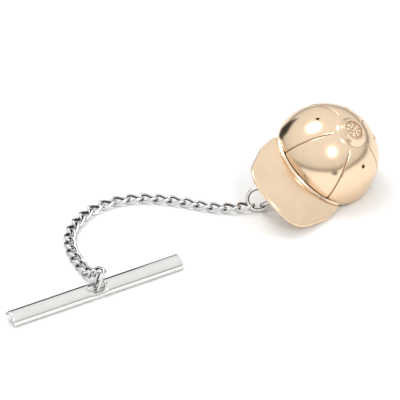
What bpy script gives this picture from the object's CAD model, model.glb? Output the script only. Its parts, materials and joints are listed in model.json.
"""Tie tack: a rose gold cap on a ball clutch, with a silver curb chain and a toggle bar."""
import json
import math

import bmesh
import bpy
import numpy as np
from mathutils import Matrix, Vector, geometry


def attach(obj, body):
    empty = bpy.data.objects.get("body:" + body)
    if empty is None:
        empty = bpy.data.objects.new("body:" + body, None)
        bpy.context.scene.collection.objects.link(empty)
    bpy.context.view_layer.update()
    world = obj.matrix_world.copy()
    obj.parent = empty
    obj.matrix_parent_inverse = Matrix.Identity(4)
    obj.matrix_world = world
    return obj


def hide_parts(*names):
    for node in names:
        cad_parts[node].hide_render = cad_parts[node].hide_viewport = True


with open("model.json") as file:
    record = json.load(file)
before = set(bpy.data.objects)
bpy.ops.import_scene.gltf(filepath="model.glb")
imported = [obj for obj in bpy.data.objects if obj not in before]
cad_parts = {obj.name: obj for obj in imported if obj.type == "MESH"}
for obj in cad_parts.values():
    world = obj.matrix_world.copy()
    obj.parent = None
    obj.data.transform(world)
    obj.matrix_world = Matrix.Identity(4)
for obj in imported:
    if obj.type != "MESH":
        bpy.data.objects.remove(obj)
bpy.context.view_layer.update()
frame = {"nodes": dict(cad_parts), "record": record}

MM = 0.001
JOINTS = {joint["name"]: joint for joint in frame["record"]["behaviour"]["joints"]}
LINKS = sorted(node for node in frame["nodes"] if node.startswith("chain_link_"))

# Sizes of the cap, in millimetres
CROWN_R, CROWN_WALL = 7.36, 0.6
SEAMS = [-108, -35, 35, 108, 180]
EYELET_R, EYELET_RISE = 0.24, 51
BUTTON_R, BUTTON_FACE_R, BUTTON_TOP, BUTTON_SINK, COLLAR_R = 1.65, 1.3, 7.91, 0.16, 2.4
BILL_T, BILL_TURN, ARCH_R, ARCH_TOP = 0.52, -2.6, 21.625, 0.9
BILL_ROOT, BILL_EDGE, GROOVE_AT = 7.34, 0.22, 0.36

# Sizes of the chain and the bar, in millimetres
RING_WIRE, LINK_WIRE, LAST_WIRE, BRIDGE_WIRE = 0.25, 0.21, 0.18, 0.18
HOOK_GAP, RING_R, RING_LEAN, RING_HOOK, EYE_R, EYE_TILT = 0.04, 1.45, 57, -62, 1.2, 25
LINK_A, LINK_B, LINK_TWIST, LINK_BLUNT, LINK_INSET = 1.185, 0.64, 50, 0.75, 0.23
LAST_B = 0.52
WIRE_EASE = 0.006  # a fine wire is drawn this much thinner, so that hooked wires clear each other
BAR_LEN, BAR_R, BAR_WALL, SLOT_LEN, SLOT_W = 25.2, 1.2, 0.3, 2.4, 1.7
LAST_ROLLS = {"chain_link_22": 7, "chain_link_23": 17}


def turning(axis, degrees):
    return Matrix.Rotation(math.radians(degrees), 4, axis)


def unit(v):
    return np.asarray(v) / np.linalg.norm(v)


def joint_at(name):
    return np.array(JOINTS[name]["pos_m"]) / MM


def joint_axis(name):
    return unit(JOINTS[name]["axis"])


# The cap's own frame and that of the post in it, in millimetres
cap_turn = turning("Z", 236.9) @ turning("Y", 4.6) @ turning("X", -37.4)
cap_up = np.array(cap_turn.col[2][:3])
cap_forward = np.array(cap_turn.col[0][:3])
post_at = joint_at("clutch_spin")
cap_frame = Matrix.Translation(post_at - cap_forward) @ cap_turn
post_frame = Matrix.Translation(post_at) @ cap_turn
bar_at = joint_at("bar_tilt")
BAR_TURN = turning("Z", 31.5) @ turning("X", 20)
bar_frame = Matrix.Translation(bar_at) @ BAR_TURN
BRIDGE_UP = BAR_R - BAR_WALL - BRIDGE_WIRE - 0.01


# ---- nodes ----
class Nodes:
    """Adds nodes to a tree, and wraps their sockets for sums."""

    def __init__(self, tree):
        self.tree = tree
        tree.nodes.clear()

    def feed(self, socket, value):
        if isinstance(value, Sum):
            value = value.socket
        if isinstance(value, bpy.types.NodeSocket):
            self.tree.links.new(value, socket)
        else:
            socket.default_value = value

    def add(self, kind, settings=None, sockets=None):
        node = self.tree.nodes.new(kind)
        for name, value in (settings or {}).items():
            if name == "stops":
                ramp = node.color_ramp
                while len(ramp.elements) < len(value):
                    ramp.elements.new(0.5)
                for element, (place, colour) in zip(ramp.elements, value):
                    element.position = place
                    element.color = (*colour, 1)
            else:
                setattr(node, name, value)
        for name, value in (sockets or {}).items():
            self.feed(node.inputs[name], value)
        return node

    def sum(self, node, name=0):
        return Sum(self, node.outputs[name])


class Sum:
    """A socket that takes part in Python sums."""

    def __init__(self, nodes, socket):
        self.nodes, self.socket = nodes, socket

    def maths(self, operation, *values):
        node = self.nodes.add("ShaderNodeMath", {"operation": operation}, dict(enumerate(values)))
        return Sum(self.nodes, node.outputs[0])

    def __add__(self, other):
        return self.maths("ADD", self, other)

    def __sub__(self, other):
        return self.maths("SUBTRACT", self, other)

    def __rsub__(self, other):
        return self.maths("SUBTRACT", other, self)

    def __mul__(self, other):
        return self.maths("MULTIPLY", self, other)

    def __truediv__(self, other):
        return self.maths("DIVIDE", self, other)

    def __pow__(self, other):
        return self.maths("POWER", self, other)

    def step(self, low, high):
        node = self.nodes.add("ShaderNodeMapRange", {"interpolation_type": "SMOOTHSTEP"},
                              {"Value": self, "From Min": low, "From Max": high})
        return Sum(self.nodes, node.outputs["Result"])

    __radd__, __rmul__ = __add__, __mul__


# ---- finishes ----
def metal(name, colour, deep, rough, swirl=0.06, cloud=0.05, edge=0.9):
    """A polished metal: fine buffing lines, faint clouding, and darker where a surface is cut in."""
    material = bpy.data.materials.new(name)
    material.use_nodes = True
    n = Nodes(material.node_tree)
    place = n.add("ShaderNodeTexCoord").outputs["Object"]
    cut = n.sum(n.add("ShaderNodeAttribute", {"attribute_name": "cut"}), "Fac").step(0.05, 0.9)
    clouds = n.sum(n.add("ShaderNodeTexNoise", {}, {"Vector": place, "Scale": 420, "Detail": 3}), "Fac")
    lined = n.add("ShaderNodeMapping", {}, {"Vector": place, "Scale": (1, 1, 9), "Rotation": (0.5, 0.3, 0.2)})
    buffed = n.sum(n.add("ShaderNodeTexNoise", {}, {"Vector": lined.outputs[0], "Scale": 2600, "Detail": 4}), "Fac")
    pits = n.sum(n.add("ShaderNodeTexVoronoi", {}, {"Vector": place, "Scale": 1500}), "Distance").step(0.0, 0.12)
    tone = n.add("ShaderNodeMix", {"data_type": "RGBA"},
                 {0: clouds.step(0.35, 0.7), 6: (*colour, 1), 7: (*[c * (1 - cloud) for c in colour], 1)})
    worn = n.add("ShaderNodeMix", {"data_type": "RGBA"}, {0: cut * 0.85, 6: tone.outputs[2], 7: (*deep, 1)})
    bump = n.add("ShaderNodeBump", {}, {"Strength": swirl, "Distance": 0.00001, "Height": buffed + pits * 0.4})
    n.add("ShaderNodeOutputMaterial", {}, {"Surface": n.add("ShaderNodeBsdfPrincipled", {}, {
        "Base Color": worn.outputs[2], "Metallic": 1.0, "Specular Tint": (edge, edge, edge, 1),
        "Roughness": rough + (buffed - 0.5) * 0.05 + clouds * 0.03 + cut * 0.25,
        "Normal": bump.outputs[0]}).outputs[0]})
    return material


rose_gold = metal("rose_gold", (0.93, 0.72, 0.51), (0.30, 0.14, 0.06), 0.16)
plain_gold = metal("rose_gold_inside", (0.84, 0.60, 0.38), (0.2, 0.1, 0.04), 0.26)
silver = metal("polished_silver", (0.84, 0.84, 0.82), (0.02, 0.02, 0.02), 0.07, 0.03, 0.03, 0.12)
wire_silver = metal("wire_silver", (0.80, 0.80, 0.79), (0.012, 0.012, 0.012), 0.10, 0.04, 0.06, 0.08)
clutch_silver = metal("clutch_silver", (0.84, 0.84, 0.82), (0.08, 0.08, 0.08), 0.16)
spring_steel = metal("spring_steel", (0.55, 0.56, 0.57), (0.1, 0.1, 0.1), 0.3)


def matt(name, colour, rough=0.7):
    material = bpy.data.materials.new(name)
    material.use_nodes = True
    n = Nodes(material.node_tree)
    n.add("ShaderNodeOutputMaterial", {}, {"Surface": n.add("ShaderNodeBsdfPrincipled", {}, {
        "Base Color": (*colour, 1), "Roughness": rough}).outputs[0]})
    return material


# ---- making pieces ----
def piece(name, mesh, material, body, node):
    """A finished piece that rides on a body in place of a CAD node."""
    obj = bpy.data.objects.new(name, mesh)
    bpy.context.scene.collection.objects.link(obj)
    mesh.materials.clear()
    mesh.materials.append(material)
    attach(obj, body)
    if node:
        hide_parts(node)
    return obj


def mesh_of(name, points, faces, place=Matrix(), cut=None, sharp=35):
    """Points in millimetres to a smooth mesh in metres, with an optional depth of cut at each point."""
    mesh = bpy.data.meshes.new(name)
    corners = [tuple(p) for p in np.asarray(points, float)]
    mesh.from_pydata(corners, [], [tuple(int(i) for i in f) for f in faces])
    mesh.transform(Matrix.Scale(MM, 4) @ place)
    if cut is not None:
        mesh.attributes.new("cut", "FLOAT", "POINT").data.foreach_set("value", np.asarray(cut, np.float32))
    mesh.shade_smooth()
    if sharp:
        mesh.set_sharp_from_angle(angle=math.radians(sharp))
    return mesh


def outward(mesh):
    work = bmesh.new()
    work.from_mesh(mesh)
    bmesh.ops.remove_doubles(work, verts=work.verts, dist=1e-7)
    bmesh.ops.recalc_face_normals(work, faces=work.faces)
    work.to_mesh(mesh)
    work.free()
    return mesh


def grid_faces(rows, columns, closed_columns=False, closed_rows=False):
    """Quads between the neighbours of a grid of points."""
    faces = []
    for i in range(rows if closed_rows else rows - 1):
        for j in range(columns if closed_columns else columns - 1):
            k, m = (i + 1) % rows, (j + 1) % columns
            faces.append((i * columns + j, i * columns + m, k * columns + m, k * columns + j))
    return faces


def end_faces(rows, columns):
    """The two faces that close the ends of a tube made as a grid."""
    return [tuple(range(columns)), tuple(range((rows - 1) * columns, rows * columns))]


def rounded(profile, radius=0.06, steps=5):
    """A profile of (radius, height) corners with each corner rounded."""
    out = []
    for k, corner in enumerate(profile):
        here = np.array(corner[:2], float)
        before, after = (np.array(profile[(k + d) % len(profile)][:2], float) for d in (-1, 1))
        if here[0] < 1e-6:
            out.append(here)
            continue
        a, b = before - here, after - here
        r = min(corner[2] if len(corner) > 2 else radius, 0.45 * np.linalg.norm(a), 0.45 * np.linalg.norm(b))
        start, end = here + unit(a) * r, here + unit(b) * r
        for t in np.linspace(0, 1, steps):
            out.append((1 - t) ** 2 * start + 2 * t * (1 - t) * here + t ** 2 * end)
    return np.array(out)


def turned(name, profile, place, around=120, wave=None, radius=0.06, cut=None):
    """A turned piece. wave(radius, height, angle) may move a point by (outwards, upwards)."""
    section = rounded(profile, radius)
    angles = np.linspace(0, 2 * math.pi, around, endpoint=False)
    points, cuts = [], []
    for r, z in section:
        for a in angles:
            out, rise = wave(r, z, a) if wave else (0, 0)
            points.append(((r + out) * math.cos(a), (r + out) * math.sin(a), z + rise))
            cuts.append(cut(r, z, a) if cut else 0)
    faces = grid_faces(len(section), around, closed_columns=True, closed_rows=True)
    return outward(mesh_of(name, points, faces, place, cuts))


def swept(name, path, radius, sides=16, closed=True, sharp=60):
    """A round wire along a path of points in millimetres."""
    radius -= WIRE_EASE
    path = np.asarray(path, float)
    n = len(path)
    ahead = np.roll(path, -1, 0) - np.roll(path, 1, 0)
    if not closed:
        ahead[0], ahead[-1] = path[1] - path[0], path[-1] - path[-2]
    ahead /= np.linalg.norm(ahead, axis=1)[:, None]
    side = unit(np.cross(ahead[0], (0.3, 0.5, 0.8)))
    sides_at = []
    for along in ahead:
        side = unit(side - side.dot(along) * along)
        sides_at.append(side)
    turn = 0.0
    if closed:
        last = unit(sides_at[-1] - sides_at[-1].dot(ahead[0]) * ahead[0])
        turn = math.atan2(np.cross(last, sides_at[0]).dot(ahead[0]), last.dot(sides_at[0]))
    points = []
    for k in range(n):
        up = np.cross(ahead[k], sides_at[k])
        for j in range(sides):
            a = 2 * math.pi * j / sides + turn * k / n
            points.append(path[k] + radius * (math.cos(a) * sides_at[k] + math.sin(a) * up))
    faces = grid_faces(n, sides, closed_columns=True, closed_rows=closed)
    if not closed:
        faces += end_faces(n, sides)
    return outward(mesh_of(name, points, faces, sharp=sharp))


def cut_away(mesh, cutter, name):
    """mesh with cutter taken out of it."""
    body, tool = (bpy.data.objects.new(name + end, m) for end, m in (("_body", mesh), ("_tool", cutter)))
    for obj in (body, tool):
        bpy.context.scene.collection.objects.link(obj)
    boolean = body.modifiers.new("cut", "BOOLEAN")
    boolean.object, boolean.operation, boolean.solver = tool, "DIFFERENCE", "EXACT"
    out = bpy.data.meshes.new_from_object(body.evaluated_get(bpy.context.evaluated_depsgraph_get()))
    for obj in (body, tool):
        bpy.data.objects.remove(obj)
    out.set_sharp_from_angle(angle=math.radians(35))
    return out


def smooth(x, low, high):
    t = np.clip((x - low) / (high - low), 0, 1)
    return t * t * (3 - 2 * t)


# ---- the cap ----
def crown_mesh():
    offsets = [0, 0.03, 0.06, 0.09, 0.125, 0.17, 0.24, 0.36, 0.55]
    outside = np.concatenate([np.linspace(1.3, 66, 92), np.linspace(66.8, 84, 22)])
    rows = [(CROWN_R, e, True) for e in outside]
    lip = [(6.76 + 0.3 + 0.3 * math.cos(a), 0.14 - 0.14 * math.sin(a))
           for a in np.linspace(0.25, math.pi - 0.25, 9)]
    inner = [(CROWN_R - CROWN_WALL, e, False) for e in np.linspace(1.5, 86, 40)]
    points, cuts = [], []

    def columns(rho):
        rho = max(rho, 1.3)
        angles, near = [], []
        for k, start in enumerate(SEAMS):
            end = SEAMS[(k + 1) % len(SEAMS)] + (360 if k == len(SEAMS) - 1 else 0)
            by = [math.degrees(math.asin(d / rho)) for d in offsets]
            middle = np.linspace(start + by[-1], end - by[-1], int((end - start) / 3) + 1)[1:-1]
            angles += [start + b for b in by] + list(middle) + [end - b for b in by[:0:-1]]
            near += offsets + [rho * math.sin(math.radians(min(m - start, end - m, 90))) for m in middle]
            near += offsets[:0:-1]
        return np.radians(angles), np.array(near)

    def row(rho, z, seamed):
        angles, near = columns(rho)
        fade = smooth(rho, 2.0, 3.7) * smooth(z, 0.05, 0.5) if seamed else 0
        sink = fade * (0.10 * np.exp(-(near / 0.085) ** 2) + 0.035 * np.exp(-(near / 0.45) ** 2))
        scale = 1 - sink / CROWN_R
        for a, s in zip(angles, scale):
            points.append((rho * s * math.cos(a), rho * s * math.sin(a), z * s))
        cuts.extend(fade * np.exp(-(near / 0.10) ** 2))
        return len(angles)

    for r, e, seamed in reversed(inner):
        count = row(r * math.cos(math.radians(e)), r * math.sin(math.radians(e)), seamed)
    for rho, z in reversed(lip):
        row(rho, z, False)
    for r, e, seamed in rows:
        row(r * math.cos(math.radians(e)), r * math.sin(math.radians(e)), seamed)
    total = len(points) // count
    faces = grid_faces(total, count, closed_columns=True)
    faces += end_faces(total, count)
    shell = outward(mesh_of("crown", points, faces, cap_frame, cuts))
    holes = bmesh.new()
    for a in eyelet_angles():
        place = Matrix.Scale(MM, 4) @ cap_frame @ turning("Z", a) @ turning("Y", -EYELET_RISE) \
            @ Matrix.Translation((7, 0, 0)) @ turning("Y", 90)
        bmesh.ops.create_cone(holes, cap_ends=True, segments=40, radius1=EYELET_R, radius2=EYELET_R, depth=2,
                              matrix=place)
    drill = bpy.data.meshes.new("eyelet_drill")
    holes.to_mesh(drill)
    holes.free()
    return cut_away(shell, drill, "crown")


def eyelet_angles():
    return [side * a for a in (71.5, 144) for side in (1, -1)]


def bill_mesh():
    """The bill in sections that fan out from the crown's axis: top, edge, underside."""
    t = np.radians(np.arange(0, 360, 3))
    blunt = lambda v: np.sign(v) * np.abs(v) ** 0.8
    oval = np.c_[9.05 + 5 * blunt(np.cos(t)), 5.8 * blunt(np.sin(t))]
    outline = np.vstack([oval, [(4.6, 6.5), (7.8, 6.5), (4.6, -6.5), (7.8, -6.5)]])
    outline = outline[geometry.convex_hull_2d([tuple(p) for p in outline])]
    edges = list(zip(outline, np.roll(outline, -1, 0)))
    fan = np.radians(np.linspace(-56.5, 56.5, 227))

    def reach(angle):
        ray = np.array((math.cos(angle), math.sin(angle)))
        best = 0
        for p, q in edges:
            d = q - p
            det = ray[0] * -d[1] + ray[1] * d[0]
            if abs(det) > 1e-9:
                along = (p[0] * -d[1] + p[1] * d[0]) / det
                share = (ray[0] * p[1] - ray[1] * p[0]) / det
                if along > 0 and -1e-6 <= share <= 1 + 1e-6:
                    best = max(best, along)
        return best

    out = np.array([reach(a) for a in fan])
    ends = np.minimum(fan - fan[0], fan[-1] - fan)
    for _ in range(6):
        out[1:-1] = (out[:-2] + 2 * out[1:-1] + out[2:]) / 4
    out = 7.44 + (out - 7.44) * np.sqrt(smooth(ends, -0.002, 0.10))
    shape = np.linspace(0, 1, 34) ** 1.15
    points, cuts = [], []
    for angle, end in zip(fan, out):
        c, s = math.cos(angle), math.sin(angle)
        room = max(end - BILL_ROOT, 0.05)
        edge = min(BILL_EDGE, room * 0.4)
        under = lambda rho: ARCH_TOP - ARCH_R + math.sqrt(ARCH_R ** 2 - (rho * s) ** 2)
        over = lambda rho: ARCH_TOP - ARCH_R + math.sqrt((ARCH_R + BILL_T) ** 2 - (rho * s) ** 2)
        welt = min(1, room / 1.2)
        for f in shape:
            rho = BILL_ROOT + (end - edge - BILL_ROOT) * f
            d = rho - BILL_ROOT
            rise = welt * (0.17 * math.exp(-(d / 0.17) ** 2) - 0.05 * math.exp(-((d - GROOVE_AT) / 0.08) ** 2))
            points.append((rho * c, rho * s, over(rho) + rise))
            cuts.append(welt * 0.9 * math.exp(-((d - GROOVE_AT) / 0.07) ** 2))
        for a in np.linspace(15, 90, 5):
            q = math.radians(a)
            rho = end - edge + edge * math.sin(q)
            points.append((rho * c, rho * s, over(end) - edge + edge * math.cos(q)))
            cuts.append(0)
        for a in np.linspace(0, 75, 5):
            q = math.radians(a)
            rho = end - edge + edge * math.cos(q)
            points.append((rho * c, rho * s, under(end) + edge - edge * math.sin(q)))
            cuts.append(0)
        for f in shape[::-1][::2]:
            rho = BILL_ROOT + (end - edge - BILL_ROOT) * f
            points.append((rho * c, rho * s, under(rho)))
            cuts.append(0)
    count = len(points) // len(fan)
    faces = grid_faces(len(fan), count, closed_columns=True)
    faces += end_faces(len(fan), count)
    return outward(mesh_of("bill", points, faces, cap_frame @ turning("Z", BILL_TURN), cuts))


def button_mesh():
    """The button on its collar, with an eight-petalled rosette on its sunk face."""
    def on_crown(r):
        return math.sqrt(CROWN_R ** 2 - r ** 2)

    collar = [(r, on_crown(r) + 0.004 + 0.60 * (1 - smooth(r, 1.45, COLLAR_R)) ** 1.3, 0.01) for r in
              np.linspace(COLLAR_R, BUTTON_R + 0.02, 14)]
    face = BUTTON_TOP - BUTTON_SINK
    profile = [(0, 7.2), (COLLAR_R - 0.1, on_crown(COLLAR_R) - 0.12), *collar,
               (BUTTON_R - 0.06, BUTTON_TOP - 0.03, 0.05),
               (BUTTON_R - 0.16, BUTTON_TOP, 0.05), (BUTTON_FACE_R + 0.06, BUTTON_TOP, 0.05),
               (BUTTON_FACE_R, face, 0.04)]
    profile += [(r, face) for r in np.linspace(1.22, 0.02, 46)] + [(0, face)]

    def rosette(r, z, a):
        if r > 1.2 or z < face - 0.05:
            return 0, 0
        ray = abs(math.cos(4 * a))
        petal = smooth(ray, 0.25, 0.75) * smooth(r, 0.28, 0.42) * (1 - smooth(r, 0.86 + 0.12 * ray, 1.0 + 0.12 * ray))
        boss = 1 - smooth(r, 0.12, 0.24)
        return 0, 0.11 * petal - 0.03 * petal * (1 - smooth(ray, 0.9, 1.0)) + 0.12 * boss

    def inked(r, z, a):
        if z < face - 0.05 or r > 1.32:
            return 0
        rise = rosette(r, z, a)[1]
        return 0.9 * smooth(r, 1.18, 1.27) if r > 1.18 else 0.55 * (1 - smooth(rise, 0.01, 0.06))

    return turned("top_button", profile, cap_frame, 192, rosette, 0.02, inked)


# ---- shapes that repeat, as node trees ----
def node_group(name, inputs):
    group = bpy.data.node_groups.new(name, "GeometryNodeTree")
    for label, kind, value in inputs:
        socket = group.interface.new_socket(label, in_out="INPUT", socket_type=kind)
        if value is not None:
            socket.default_value = value
    group.interface.new_socket("Geometry", in_out="OUTPUT", socket_type="NodeSocketGeometry")
    nodes = Nodes(group)
    given = nodes.add("NodeGroupInput")
    return group, nodes, given


def finish_group(nodes, given, geometry_socket):
    smooth_shade = nodes.add("GeometryNodeSetShadeSmooth", {}, {0: geometry_socket})
    real = nodes.add("GeometryNodeRealizeInstances", {}, {0: smooth_shade.outputs[0]})
    painted = nodes.add("GeometryNodeSetMaterial", {}, {0: real.outputs[0], "Material": given.outputs["Material"]})
    nodes.add("NodeGroupOutput", {}, {0: painted.outputs[0]})


def curb_link_group():
    """A link of curb chain: a blunt oval of wire whose ends are twisted opposite ways."""
    group, n, given = node_group("curb_link", [
        ("Half Length", "NodeSocketFloat", LINK_A), ("Half Width", "NodeSocketFloat", LINK_B),
        ("Wire Radius", "NodeSocketFloat", LINK_WIRE - WIRE_EASE),
        ("Twist", "NodeSocketFloat", math.radians(LINK_TWIST)),
        ("Bluntness", "NodeSocketFloat", LINK_BLUNT), ("Material", "NodeSocketMaterial", None)])
    value = {s.name: n.sum(given, s.name) for s in given.outputs if s.name not in ("", "Material")}
    oval = n.add("GeometryNodeCurvePrimitiveCircle", {}, {"Resolution": 72, "Radius": 1.0})
    angle = n.sum(n.add("GeometryNodeSplineParameter"), "Factor") * (2 * math.pi)
    x, y = (s.maths("SIGN", s) * s.maths("ABSOLUTE", s) ** value["Bluntness"]
            for s in (angle.maths("COSINE", angle), angle.maths("SINE", angle)))
    turn = x * value["Twist"] * -1
    out = y * value["Half Width"]
    place = n.add("ShaderNodeCombineXYZ", {}, {
        0: x * value["Half Length"], 1: out * turn.maths("COSINE", turn), 2: out * turn.maths("SINE", turn)})
    bent = n.add("GeometryNodeSetPosition", {}, {"Geometry": oval.outputs[0], "Position": place.outputs[0]})
    section = n.add("GeometryNodeCurvePrimitiveCircle", {}, {"Resolution": 16, "Radius": value["Wire Radius"]})
    wire = n.add("GeometryNodeCurveToMesh", {}, {0: bent.outputs[0], 1: section.outputs[0]})
    finish_group(n, given, wire.outputs[0])
    return group


def from_group(group, name, values, source=None):
    """The tree's result as a plain mesh."""
    holder = bpy.data.objects.new(name, source or bpy.data.meshes.new(name))
    bpy.context.scene.collection.objects.link(holder)
    modifier = holder.modifiers.new("nodes", "NODES")
    modifier.node_group = group
    for item in group.interface.items_tree:
        if item.item_type == "SOCKET" and item.in_out == "INPUT" and item.name in values:
            modifier[item.identifier] = values[item.name]
    holder.update_tag()
    mesh = bpy.data.meshes.new_from_object(holder.evaluated_get(bpy.context.evaluated_depsgraph_get()))
    holder.modifiers.remove(modifier)
    bpy.data.objects.remove(holder)
    mesh.name = name
    return mesh


def ring_of_group():
    """One shape set round a circle, as ridges round a knob."""
    group, n, given = node_group("ring_of", [
        ("Geometry", "NodeSocketGeometry", None), ("Count", "NodeSocketInt", 24),
        ("Radius", "NodeSocketFloat", 1.0), ("Material", "NodeSocketMaterial", None)])
    circle = n.add("GeometryNodeMeshCircle", {}, {"Vertices": given.outputs["Count"], "Radius": given.outputs["Radius"]})
    index = n.sum(n.add("GeometryNodeInputIndex"))
    turn = n.add("ShaderNodeCombineXYZ", {}, {2: index * (2 * math.pi) / n.sum(given, "Count")})
    turned_by = n.add("FunctionNodeEulerToRotation", {}, {0: turn.outputs[0]})
    copies = n.add("GeometryNodeInstanceOnPoints", {}, {
        "Points": circle.outputs[0], "Instance": given.outputs["Geometry"], "Rotation": turned_by.outputs[0]})
    finish_group(n, given, copies.outputs[0])
    return group


# ---- the bar ----
def bar_mesh():
    """A half-round trough with rounded edges, sunk a little round its slot, and the slot cut through."""
    near = np.linspace(-2.1, 2.1, 71)
    far = 2.1 + (BAR_LEN / 2 - 0.05 - 2.1) * np.linspace(0, 1, 34)[1:]
    along = np.concatenate([-far[::-1], near, far])
    inner_r, mid_r, half = BAR_R - BAR_WALL, BAR_R - BAR_WALL / 2, BAR_WALL / 2
    section = [(BAR_R, a) for a in np.linspace(4, 176, 65)]
    section += [(mid_r + half * math.cos(math.radians(b)), 180, half * math.sin(math.radians(b)))
                for b in np.linspace(20, 160, 7)]
    section += [(inner_r, a) for a in np.linspace(176, 4, 49)]
    section += [(mid_r + half * math.cos(math.radians(b)), 0, half * math.sin(math.radians(b)))
                for b in np.linspace(160, 20, 7)]
    points = []

    def from_slot(x, y):
        straight = (SLOT_LEN - SLOT_W) / 2
        return math.hypot(max(abs(x) - straight, 0), y) - SLOT_W / 2

    def add_row(x, shrink):
        for item in section:
            r, a = item[0], math.radians(item[1])
            drop = item[2] if len(item) > 2 else 0
            r = mid_r + (r - mid_r) * (1 - shrink)
            y, z = r * math.cos(a), r * math.sin(a) + 0.14 - drop * 0.9
            if len(item) == 2 and item[0] == BAR_R:
                sink = 0.11 * (1 - smooth(from_slot(x, y), 0.0, 0.5))
                y, z = y - sink * math.cos(a), z - sink * math.sin(a)
            z = max(z - 0.14 * math.sin(a), 0)
            points.append((x, y, z))

    end = BAR_LEN / 2
    for x, shrink in [(-end, 0.35), (-end + 0.015, 0.12)]:
        add_row(x, shrink)
    for x in along:
        add_row(x, 0)
    for x, shrink in [(end - 0.015, 0.12), (end, 0.35)]:
        add_row(x, shrink)
    count = len(section)
    rows = len(points) // count
    faces = grid_faces(rows, count, closed_columns=True)
    faces += end_faces(rows, count)
    place = bar_frame @ Matrix.Translation((0, 0, -BRIDGE_UP))
    trough = outward(mesh_of("toggle_bar", points, faces, place))
    outline = [((SLOT_LEN - SLOT_W) / 2 * (1 if math.cos(t) > 0 else -1) + SLOT_W / 2 * math.cos(t),
                SLOT_W / 2 * math.sin(t)) for t in np.linspace(0, 2 * math.pi, 96, endpoint=False) + 0.01]
    low, high = [(x, y, 0.2) for x, y in outline], [(x, y, 2.0) for x, y in outline]
    n = len(outline)
    walls = [(k, (k + 1) % n, n + (k + 1) % n, n + k) for k in range(n)]
    punch = outward(mesh_of("slot_punch", low + high, walls + [tuple(range(n)), tuple(range(n, 2 * n))], place))
    return cut_away(trough, punch, "toggle_bar")


# ---- putting the tack together ----
def curb_chain():
    group = curb_link_group()
    hooks = [joint_at("link_01_swing")] + [joint_at(f"link_{k + 1:02d}_bend") for k in range(1, len(LINKS))]
    tip = joint_at("bar_end_swing")
    for k, node in enumerate(LINKS):
        start = hooks[k]
        along = unit((hooks[k + 1] if k + 1 < len(LINKS) else tip) - start)
        left = unit(np.cross((0, 0, 1), along))
        roll = math.radians(LAST_ROLLS.get(node, 0))
        left = math.cos(roll) * left + math.sin(roll) * np.cross(along, left)
        up = np.cross(along, left)
        place = Matrix([[along[i], left[i], up[i], 0] for i in range(3)] + [[0, 0, 0, 1]])
        place.translation = start + along * (LINK_A - LINK_INSET)
        mesh = from_group(group, node, {"Material": wire_silver})
        tarnish(mesh, np.zeros(3))
        mesh.transform(Matrix.Scale(MM, 4) @ place)
        piece(f"curb_{node[6:]}", mesh, wire_silver, f"link_{node[-2:]}", node)


def tarnish(mesh, centre):
    """Darkens the faces turned in towards the middle of a loop, where polish doesn't reach."""
    count = len(mesh.vertices)
    places, normals = np.zeros(count * 3), np.zeros(count * 3)
    mesh.vertices.foreach_get("co", places)
    mesh.vertices.foreach_get("normal", normals)
    outwards = places.reshape(-1, 3) - centre
    outwards /= np.linalg.norm(outwards, axis=1)[:, None]
    inward = -(outwards * normals.reshape(-1, 3)).sum(1)
    values = smooth(inward, -0.1, 0.75).astype(np.float32)
    mesh.attributes.new("cut", "FLOAT", "POINT").data.foreach_set("value", values)


def circle_path(centre, x, y, radius, start=0, end=360, steps=96, closed=True):
    angles = np.radians(np.linspace(start, end, steps, endpoint=not closed))
    return [centre + radius * (math.cos(a) * x + math.sin(a) * y) for a in angles]


def rings():
    eye_at, ring_end = joint_at("ring_1_swing"), joint_at("ring_2_swing")
    along, side = unit(ring_end - eye_at), joint_axis("ring_2_swing")
    radius = np.linalg.norm(ring_end - eye_at) / 2
    first = circle_path((eye_at + ring_end) / 2, along, side, radius)
    loop = swept("first_ring", first, RING_WIRE)
    tarnish(loop, np.mean(first, 0) * MM)
    piece("first_ring", loop, wire_silver, "ring_1", "cap_end_ring_1")
    lean = math.radians(RING_LEAN)
    x, y = np.array((1, 0, 0)), np.array((0, math.cos(lean), math.sin(lean)))
    low = math.radians(RING_HOOK)
    centre = ring_end - (RING_R - 2 * RING_WIRE - HOOK_GAP) * (math.cos(low) * x + math.sin(low) * y)
    second = circle_path(centre, x, y, RING_R)
    loop = swept("second_ring", second, RING_WIRE)
    tarnish(loop, centre * MM)
    piece("second_ring", loop, wire_silver, "ring_2", "cap_end_ring_2")
    tilt = math.radians(EYE_TILT)
    out = math.cos(tilt) * cap_forward - math.sin(tilt) * cap_up
    across = np.array(cap_turn.col[1][:3])
    centre = eye_at - (EYE_R - 2 * RING_WIRE - HOOK_GAP) * out
    loop = circle_path(centre, out, across, EYE_R, -141, 141, 72, closed=False)
    eye = swept("eye", loop, RING_WIRE, closed=False)
    piece("clutch_eye", eye, clutch_silver, "clutch", "chain_eye")


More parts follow.
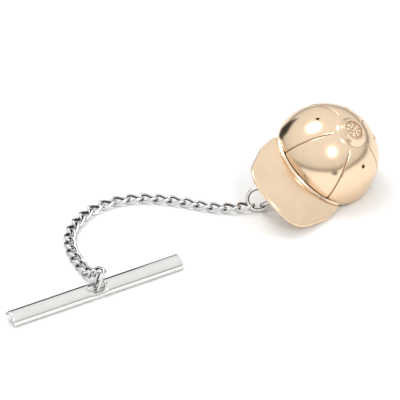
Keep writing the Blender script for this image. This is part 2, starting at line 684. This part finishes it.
def bar_end():
    """The long link through the slot, and the wire that it passes under."""
    tip, pin = joint_at("bar_end_swing"), bar_at
    bar_x = np.array(BAR_TURN.col[0][:3])
    down = unit(pin - tip)
    top = tip - (LAST_WIRE + LINK_WIRE + HOOK_GAP) * down
    half = (np.linalg.norm(pin - top) + LAST_WIRE + BRIDGE_WIRE + HOOK_GAP) / 2
    side = unit(np.cross(down, joint_axis("bar_end_swing") + bar_x))
    arcs = [(half - LAST_B, -90), (LAST_B - half, 90)]
    path = [top + down * (half + shift + LAST_B * math.cos(t)) + side * LAST_B * math.sin(t)
            for shift, first in arcs for t in np.radians(first + np.linspace(0, 180, 25))]
    smooth_path = []
    for p, q in zip(path, path[1:] + path[:1]):
        steps = max(1, int(np.linalg.norm(q - p) / 0.12))
        smooth_path += [p + (q - p) * s / steps for s in range(steps)]
    loop = swept("long_link", smooth_path, LAST_WIRE)
    tarnish(loop, np.mean(smooth_path, 0) * MM)
    piece("long_link", loop, wire_silver, "bar_end", "bar_end_link")
    reach = [pin + bar_x * x for x in np.linspace(-2.2, 2.2, 12)]
    piece("bridge", swept("bridge", reach, BRIDGE_WIRE, closed=False), silver, "bar", "bridge_wire")
    piece("bar", bar_mesh(), silver, "bar", "toggle_bar")


def cap():
    piece("crown_shell", crown_mesh(), rose_gold, "cap", "crown")
    piece("peak", bill_mesh(), rose_gold, "cap", "bill")
    piece("crown_button", button_mesh(), rose_gold, "cap", "top_button")
    ring = np.linspace(0, 2 * math.pi, 40, endpoint=False)
    work = bmesh.new()
    for a in eyelet_angles():
        place = cap_frame @ turning("Z", a) @ turning("Y", -EYELET_RISE)
        rim = [place @ Vector((CROWN_R + 0.005, 0.31 * math.cos(t), 0.31 * math.sin(t))) for t in ring]
        part = swept("eyelet", rim, 0.075, 12)
        work.from_mesh(part)
    mesh = bpy.data.meshes.new("eyelets")
    work.to_mesh(mesh)
    work.free()
    mesh.shade_smooth()
    piece("eyelet_rims", mesh, rose_gold, "cap", None)


def clutch():
    top, bottom, floor = 2.8, -1.95, -1.55
    drum_top, r = 2.4, 4.95
    drum = [(1.2, bottom), (r - 0.1, bottom, 0.3), (r, drum_top), (r - 0.4, drum_top), (r - 0.4, floor, 0.2),
            (1.2, floor)]
    bead = lambda rr, z, a: (0.05 * math.exp(-((z + 1.2) / 0.16) ** 2) if rr > 4.8 else 0, 0)
    groove = lambda rr, z, a: 0.8 * math.exp(-((z - 2.25) / 0.09) ** 2) if rr > 4.8 else 0
    drum.insert(2, (r, -1.45, 0.01))
    drum[3:3] = [(r, z, 0.01) for z in np.linspace(-1.3, -0.9, 6)]
    piece("drum", turned("drum", drum, post_frame, 180, bead, 0.05, groove), clutch_silver, "clutch", "clutch_drum")
    lid = [(0.62, drum_top), (r, drum_top), (r, top, 0.15), (0.62, top, 0.1)]
    piece("lid", turned("lid", lid, post_frame, 160, None, 0.03), clutch_silver, "clutch", "clutch_cover")
    cage = [(0.57, 2.35), (1.17, 2.35), (1.17, -0.15), (2.1, -0.15), (2.1, -0.4), (1.15, -0.4), (1.15, -2.25),
            (2.24, -2.25, 0.1), (2.24, -3.1, 0.15), (0, -3.1), (0, -2.85), (0.57, -2.85)]
    dish = lambda rr, z, a: (0, 0.1 * (1 - smooth(rr, 0.2, 1.7)) if z < -3.05 else 0)
    cage[9:9] = [(x, -3.1, 0.01) for x in np.linspace(1.9, 0.3, 10)]
    knob = turned("knob", cage, post_frame, 144, dish, 0.04)
    piece("pull_knob", knob, clutch_silver, "cage", "ball_cage")
    ridge = turned("ridge", [(0, -0.36), (0.05, -0.33), (0.07, 0), (0.05, 0.33), (0, 0.36)], Matrix(), 10, None, 0.02)
    ridge.transform(Matrix.Scale(1 / MM, 4))
    ridges = from_group(ring_of_group(), "ridges", {"Count": 48, "Radius": 2.24, "Material": clutch_silver}, ridge)
    ridges.transform(Matrix.Scale(MM, 4) @ post_frame @ Matrix.Translation((0, 0, -2.68)))
    piece("knob_ridges", ridges, clutch_silver, "cage", None)


cap()
clutch()
rings()
curb_chain()
bar_end()

for node, material in (("mounting_plate", plain_gold), ("post", plain_gold), ("wedge_cone", clutch_silver),
                       ("lock_balls", spring_steel), ("cage_spring", spring_steel)):
    obj = frame["nodes"][node]
    if not obj.material_slots:
        obj.data.materials.append(material)
    for material_slot in obj.material_slots:
        material_slot.material = material


# ---- the studio ----
def studio():
    floor = bpy.data.meshes.new("floor")
    t = np.linspace(0, 2 * math.pi, 64, endpoint=False)
    floor.from_pydata([(0.5 * math.cos(a), 0.5 * math.sin(a), -0.00001) for a in t], [], [tuple(range(64))])
    table = bpy.data.objects.new("floor", floor)
    floor.materials.append(matt("pale_floor", (0.94, 0.94, 0.94), 0.8))
    bpy.context.scene.collection.objects.link(table)

    world = bpy.data.worlds.new("soft_tent")
    bpy.context.scene.world = world
    world.use_nodes = True
    n = Nodes(world.node_tree)
    ray = n.add("ShaderNodeSeparateXYZ", {}, {0: n.add("ShaderNodeTexCoord").outputs["Generated"]})
    height = n.sum(ray, "Z")
    tent = n.add("ShaderNodeValToRGB", {"stops": [
        (0.0, (0.8, 0.8, 0.8)), (0.02, (0.25, 0.25, 0.25)), (0.09, (0.35, 0.33, 0.3)), (0.16, (0.8, 0.8, 0.8)),
        (0.5, (0.92, 0.92, 0.92)), (1.0, (1.0, 1.0, 1.0))]}, {"Fac": height})
    n.add("ShaderNodeOutputWorld", {}, {0: n.add("ShaderNodeBackground", {}, {
        "Color": tent.outputs[0], "Strength": 1.0}).outputs[0]})

    black = matt("card", (0.006, 0.006, 0.006), 0.9)
    for name, corner, side, rise in (("back_card", (-56, 60, 0), (42, 0, 0), 32),
                                     ("front_card", (33, -62, 0), (0, 40, 0), 6)):
        base, edge, up = Vector(corner) * MM, Vector(side) * MM, Vector((0, 0, rise * MM))
        mesh = bpy.data.meshes.new(name)
        mesh.from_pydata([base, base + edge, base + edge + up, base + up], [], [(0, 1, 2, 3)])
        mesh.materials.append(black)
        card = bpy.data.objects.new(name, mesh)
        card.visible_shadow = card.visible_diffuse = card.visible_camera = False
        bpy.context.scene.collection.objects.link(card)
    for name, place, size, power in (("key", (0.12, -0.30, 0.30), 0.08, 0.35),
                                     ("top", (-0.15, 0.10, 0.45), 0.20, 0.5)):
        lamp = bpy.data.lights.new(name, "AREA")
        lamp.shape, lamp.size, lamp.energy = "DISK", size, power
        obj = bpy.data.objects.new(name, lamp)
        obj.location = place
        obj.rotation_euler = (-Vector(place) + Vector((0, 0.01, 0))).to_track_quat("-Z", "Y").to_euler()
        bpy.context.scene.collection.objects.link(obj)

    camera = bpy.data.cameras.new("camera")
    camera.lens, camera.sensor_width, camera.clip_end = 300, 36, 5
    eye = bpy.data.objects.new("camera", camera)
    elevation, away = math.radians(33), 0.4504
    eye.location = Vector((0.00028, 0.00977, 0)) + away * Vector((0, -math.cos(elevation), math.sin(elevation)))
    eye.rotation_euler = (math.pi / 2 - elevation, 0, 0)
    bpy.context.scene.collection.objects.link(eye)
    bpy.context.scene.camera = eye
    bpy.context.scene.view_settings.view_transform = "Standard"


studio()
bpy.context.view_layer.update()
